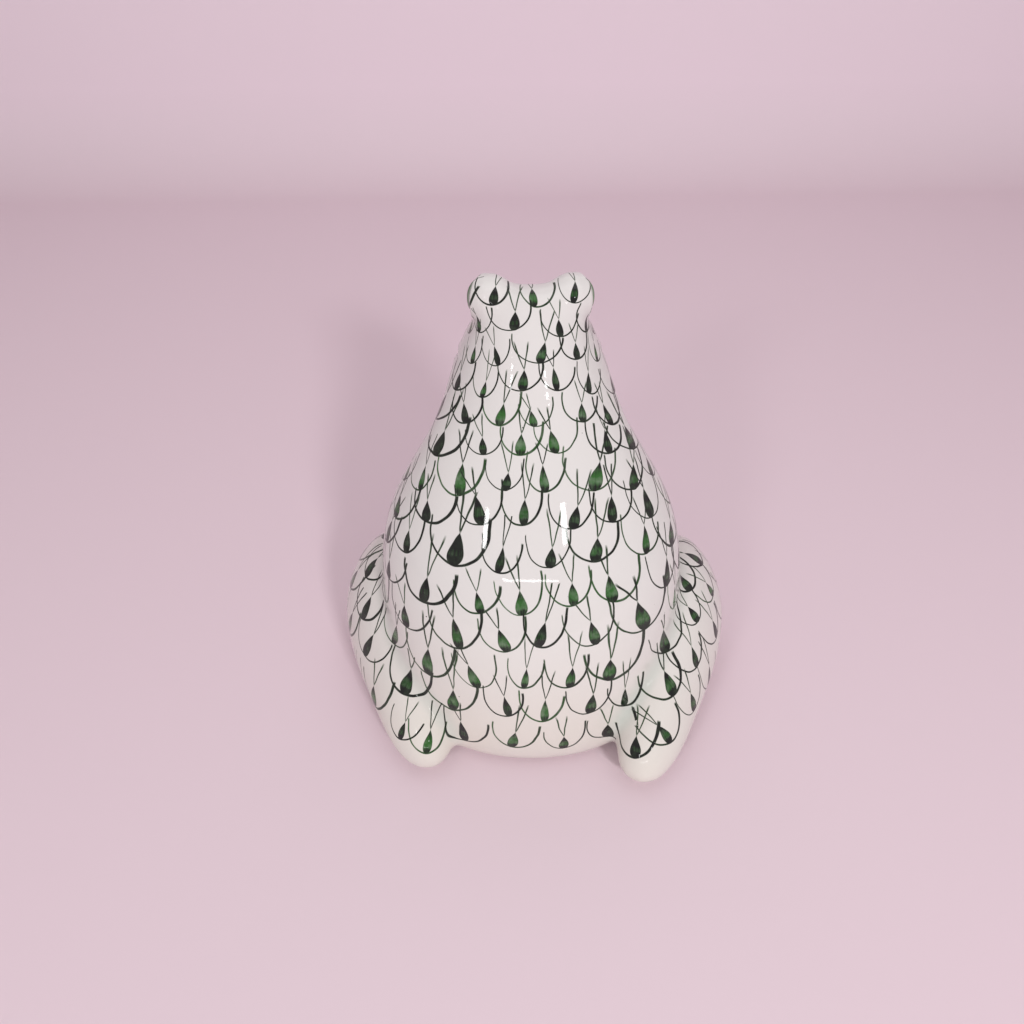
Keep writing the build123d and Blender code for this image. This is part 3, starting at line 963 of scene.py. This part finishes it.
def finish_piece(node, mesh, pen=None, wash=None, bare=nowhere):
    """Paints and glazes a piece, and puts it in the place of its node. pen and wash give how
    far a place lies outside the marks drawn by hand, in millimetres."""
    places = read_array(mesh.vertices, "co", 3)
    for name, gap in (("pen_gap", pen), ("wash_gap", wash)):
        gaps = gap(places) if gap else np.full(len(places), far_off)
        store(mesh, name, "FLOAT", "POINT", gaps.astype(np.float32))
    paint_scales(mesh, bare)
    smooth_over_seams(mesh)
    mesh.materials.clear()
    mesh.materials.append(glazed)
    mesh.materials.append(biscuit)
    down = read_array(mesh.polygons, "normal", 3)[:, 2] < foot_facing
    on_floor = read_array(mesh.polygons, "center", 3)[:, 2] < foot_flat_height / 2
    mesh.polygons.foreach_set("material_index", (down & on_floor).astype(np.int32))
    piece = bpy.data.objects.new(f"glazed_{node}", mesh)
    scene.collection.objects.link(piece)
    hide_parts(node)
    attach(piece, "root")


finish_piece(
    "torso",
    skin_piece("torso"),
    bare=lambda centres: (
        (np.abs(centres[:, 0]) < belly_half_width)
        & (centres[:, 1] < belly_back)
        & (centres[:, 2] < belly_top)
    ),
)

# Head
# The upper casting, luted on at the neck. The mouth is a line pressed into the clay and drawn
# over with the brush, and the nostrils are two pricked dents.
mouth_below_crown = 0.022
mouth_length = 0.022
mouth_climb = (0.0031, 0.0019)
mouth_fade_share = 0.3
mouth_groove_width = 0.0011
mouth_groove_depth = 0.0008
lip_height = 0.00025
lip_width = 0.0016
mouth_pen_width_mm = 0.55
nostril_place = (0.0032, 0.0027)
nostril_radius = 0.0010
nostril_depth = 0.0007
nostril_pen_radius_mm = 0.55
nostril_dent_share = 0.7
nostril_bare_share = 1.6
chin_margin = 0.0014

head_low, head_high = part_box("head")
mouth_height = head_high.z - mouth_below_crown


def from_mouth(places):
    """How far places on the head lie above the mouth's line, how far from it, and their share
    of the way from its middle to its corner."""
    along = (places[:, 1] - head_low.y) / mouth_length
    inside = np.clip(along, 0, 1)
    line = mouth_height + mouth_climb[0] * inside + mouth_climb[1] * inside**2
    rise = places[:, 2] - line
    return rise, np.hypot(rise, np.maximum(along - 1, 0) * mouth_length), inside


def from_nostril(places):
    """How far places on the head lie from the nearer nostril, seen from above."""
    aside = np.abs(places[:, 0]) - nostril_place[0]
    away = np.hypot(aside, places[:, 1] - head_low.y - nostril_place[1])
    return np.where(from_mouth(places)[0] > 0, away, 1.0)


def press_face(places):
    """The mouth's groove between its lips, and the nostrils' dents."""
    _, away, along = from_mouth(places)
    fade = np.clip((1 - along) / mouth_fade_share, 0, 1)
    groove = mouth_groove_depth * np.exp(-((away / (mouth_groove_width / 2)) ** 2))
    lips = lip_height * np.exp(-(((away - lip_width) / (lip_width / 2)) ** 2))
    nostril_share = from_nostril(places) / (nostril_radius * nostril_dent_share)
    dent = nostril_depth * np.exp(-(nostril_share**2))
    return (lips - groove) * fade - dent


def near_face(place):
    """Whether a place on the head lies in the mouth's and nostrils' relief."""
    at_lips = from_mouth(place[None])[1][0] < 2 * lip_width
    return at_lips or from_nostril(place[None])[0] < 2 * nostril_radius


def near_line(place):
    """Whether a place on the head lies at the mouth's drawn line."""
    return from_mouth(place[None])[1][0] < mouth_groove_width


head_mesh = refined(refined(skin_piece("head"), near_face, 1), near_line, 1)
head_mesh = pushed(head_mesh, press_face)
finish_piece(
    "head",
    head_mesh,
    pen=lambda places: np.minimum(
        from_mouth(places)[1] * 1000 - mouth_pen_width_mm / 2,
        from_nostril(places) * 1000 - nostril_pen_radius_mm,
    ),
    bare=lambda centres: (
        ((from_mouth(centres)[0] < chin_margin) & (centres[:, 1] < head_low.y + mouth_length))
        | (from_nostril(centres) < nostril_bare_share * nostril_radius)
    ),
)

# Eyes
# Two pressed domes on top of the head. Each has a ring cut round its iris, under a raised lid,
# and the iris is washed green and gets a dark outline and a lying pupil.
eye_radius = 0.0053
iris_radius = 0.0036
iris_turn = radians(28.0)
iris_bulge = 0.00015
ring_radius = 0.00385
ring_width = 0.0006
ring_depth = 0.00045
lid_radius = 0.0045
lid_width = 0.0007
lid_height = 0.00028
pupil_half_size_mm = (2.0, 1.45)
ring_pen_mm = 0.18
wash_margin_mm = 0.15
bare_lid = 0.001
eye_detail_radius = 0.0052

for side_name, side in (("left", 1), ("right", -1)):
    low, high = (np.array(corner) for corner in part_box(f"eye_{side_name}"))
    outer = high[0] if side > 0 else low[0]
    middle_y = (low[1] + high[1]) / 2
    eye_centre = np.array((outer - side * eye_radius, middle_y, high[2] - eye_radius))
    gaze = np.array((side * cos(iris_turn), -sin(iris_turn), 0.0))
    sideways = np.cross((0.0, 0.0, 1.0), gaze)

    def from_gaze(places, centre=eye_centre, gaze=gaze):
        """How far places on the eye lie from the line of its gaze, and far off behind it."""
        away = places - centre
        ahead_of_centre = away @ gaze
        radial = np.linalg.norm(away - np.outer(ahead_of_centre, gaze), axis=1)
        return np.where(ahead_of_centre > 0, radial, 1.0)

    def press_eye(places):
        """The iris, the ring round it and the lid's edge."""
        radial = from_gaze(places)
        iris = iris_bulge * np.clip(1 - (radial / iris_radius) ** 2, 0, 1)
        ring = ring_depth * np.exp(-(((radial - ring_radius) / (ring_width / 2)) ** 2))
        lid = lid_height * np.exp(-(((radial - lid_radius) / (lid_width / 2)) ** 2))
        return iris - ring + lid

    def eye_pen(places, centre=eye_centre, sideways=sideways):
        """How far places lie outside the iris's outline and the pupil, in millimetres."""
        radial_mm = from_gaze(places) * 1000
        across_mm = (places - centre) @ sideways * 1000
        up_mm = (places[:, 2] - centre[2]) * 1000
        oval = np.hypot(across_mm / pupil_half_size_mm[0], up_mm / pupil_half_size_mm[1])
        pupil = (oval - 1) * pupil_half_size_mm[1]
        pupil = np.where(radial_mm < iris_radius * 1000, pupil, far_off)
        return np.minimum(np.abs(radial_mm - ring_radius * 1000) - ring_pen_mm, pupil)

    def near_iris(place):
        """Whether a place on the eye lies in the relief of its iris, ring and lid."""
        return from_gaze(place[None])[0] < eye_detail_radius

    def bare_eye(centres):
        """The iris and the front of the dome, which the scales leave out."""
        return (from_gaze(centres) < ring_radius) | (centres[:, 1] < eye_centre[1] - bare_lid)

    finish_piece(
        f"eye_{side_name}",
        pushed(refined(skin_piece(f"eye_{side_name}"), near_iris, 2), press_eye),
        pen=eye_pen,
        wash=lambda places: from_gaze(places) * 1000 - (iris_radius * 1000 - wash_margin_mm),
        bare=bare_eye,
    )

# Haunches, forelegs and feet
# The folded hind legs are hollow cast cups, and the forelegs and webbed feet are pressed solid
# in small moulds. All are luted to the body with slip, and the feet stay white.
for side_name in ("left", "right"):
    for form in ("haunch", "hind_foot", "foreleg", "front_foot"):
        finish_piece(f"{form}_{side_name}", skin_piece(f"{form}_{side_name}"))

# The table and the studio
# A pale rose paper sweep, and soft boxes over each shoulder of the camera. Where the paper bends
# up into the wall it is painted paler, as painted light.
paper_hex = "E4D1D9"
wall_hex = "F6E6EF"
sweep_half_width = 2.4
sweep_front = 2.0
sweep_back = -0.40
sweep_bend = 0.06
sweep_bend_steps = 12
sweep_height = 0.9

paper = bpy.data.materials.new("rose paper")
paper.use_nodes = True
paper_tree = paper.node_tree
paper_shader = paper_tree.nodes["Principled BSDF"]
paper_place = wire(paper_tree, "ShaderNodeTexCoord").outputs["Object"]
paper_height = wire(paper_tree, "ShaderNodeSeparateXYZ", paper_place).outputs[2]
# Painted light: the paper is painted paler as it bends up into the wall.
up_wall = wire(paper_tree, "ShaderNodeMapRange", paper_height, 0.0, sweep_bend, 0.0, 1.0).outputs[0]
paper_colour = wire(
    paper_tree, "ShaderNodeMix", up_wall, *before_mix_colours, linear(paper_hex), linear(wall_hex),
    data_type="RGBA"
).outputs[mix_colour_output]
paper_tree.links.new(paper_colour, paper_shader.inputs["Base Color"])
paper_shader.inputs["Roughness"].default_value = 0.55
profile = [(sweep_front, 0.0), (sweep_back, 0.0)]
for i in range(1, sweep_bend_steps + 1):
    angle = pi / 2 * i / sweep_bend_steps
    profile.append((sweep_back - sweep_bend * sin(angle), sweep_bend * (1 - cos(angle))))
profile.append((sweep_back - sweep_bend, sweep_height))
sweep_points = [(x, y, z) for y, z in profile for x in (-sweep_half_width, sweep_half_width)]
sweep_faces = [(2 * i, 2 * i + 2, 2 * i + 3, 2 * i + 1) for i in range(len(profile) - 1)]
sweep_mesh = bpy.data.meshes.new("paper_sweep")
sweep_mesh.from_pydata(sweep_points, [], sweep_faces)
sweep_mesh.shade_smooth()
sweep_mesh.materials.append(paper)
sweep = bpy.data.objects.new("paper_sweep", sweep_mesh)
scene.collection.objects.link(sweep)

# The two boxes that cast the shadows are left out of the gloss, and a small dim one just in
# front of each gives its glint.
right_box_at = Vector((-0.254, 0.629, 0.424))
left_box_at = Vector((0.343, 0.594, 0.412))
glint_share_of_way = 0.95
aimed_at = Vector((0, 0, 0.04))
soft_boxes = [
    ("right box", right_box_at, (0.10, 0.08), 2.5, False),
    ("right glint", right_box_at * glint_share_of_way, (0.040, 0.028), 0.055, True),
    ("left box", left_box_at, (0.12, 0.09), 0.9, False),
    ("left glint", left_box_at * glint_share_of_way, (0.034, 0.024), 0.035, True),
    ("low strip", (0.0, 0.75, 0.33), (0.42, 0.012), 0.14, True),
    ("top box", (0.0, 0.05, 0.80), (0.80, 0.60), 0.9, True),
    ("front fill", (0.0, -0.38, 0.55), (0.60, 0.30), 0.25, True),
]
for name, at, size, power, in_gloss in soft_boxes:
    lamp = bpy.data.lights.new(name, "AREA")
    lamp.shape = "RECTANGLE"
    lamp.size, lamp.size_y = size
    lamp.energy = power
    box = bpy.data.objects.new(name, lamp)
    box.visible_camera = False
    box.visible_glossy = in_gloss
    box.location = at
    box.rotation_euler = (aimed_at - Vector(at)).to_track_quat("-Z", "Y").to_euler()
    scene.collection.objects.link(box)

# The room gives soft light, and beyond the paper the camera and the gloss see a pale rose wall.
room_light_hex = "F2EAEC"
room_light_strength = 0.45
room_wall_hex = "C4B0B8"

world = bpy.data.worlds.new("studio")
world.use_nodes = True
world_tree = world.node_tree
world_tree.nodes.clear()
room_light = wire(world_tree, "ShaderNodeBackground", linear(room_light_hex), room_light_strength)
room_wall = wire(world_tree, "ShaderNodeBackground", linear(room_wall_hex), 1.0)
ray = wire(world_tree, "ShaderNodeLightPath").outputs
seen = wire(
    world_tree, "ShaderNodeMath", ray["Is Camera Ray"], ray["Is Glossy Ray"], operation="MAXIMUM"
).outputs[0]
room = wire(world_tree, "ShaderNodeMixShader", seen, room_light.outputs[0], room_wall.outputs[0])
wire(world_tree, "ShaderNodeOutputWorld", room.outputs[0])
scene.world = world
scene.view_settings.view_transform = "Standard"
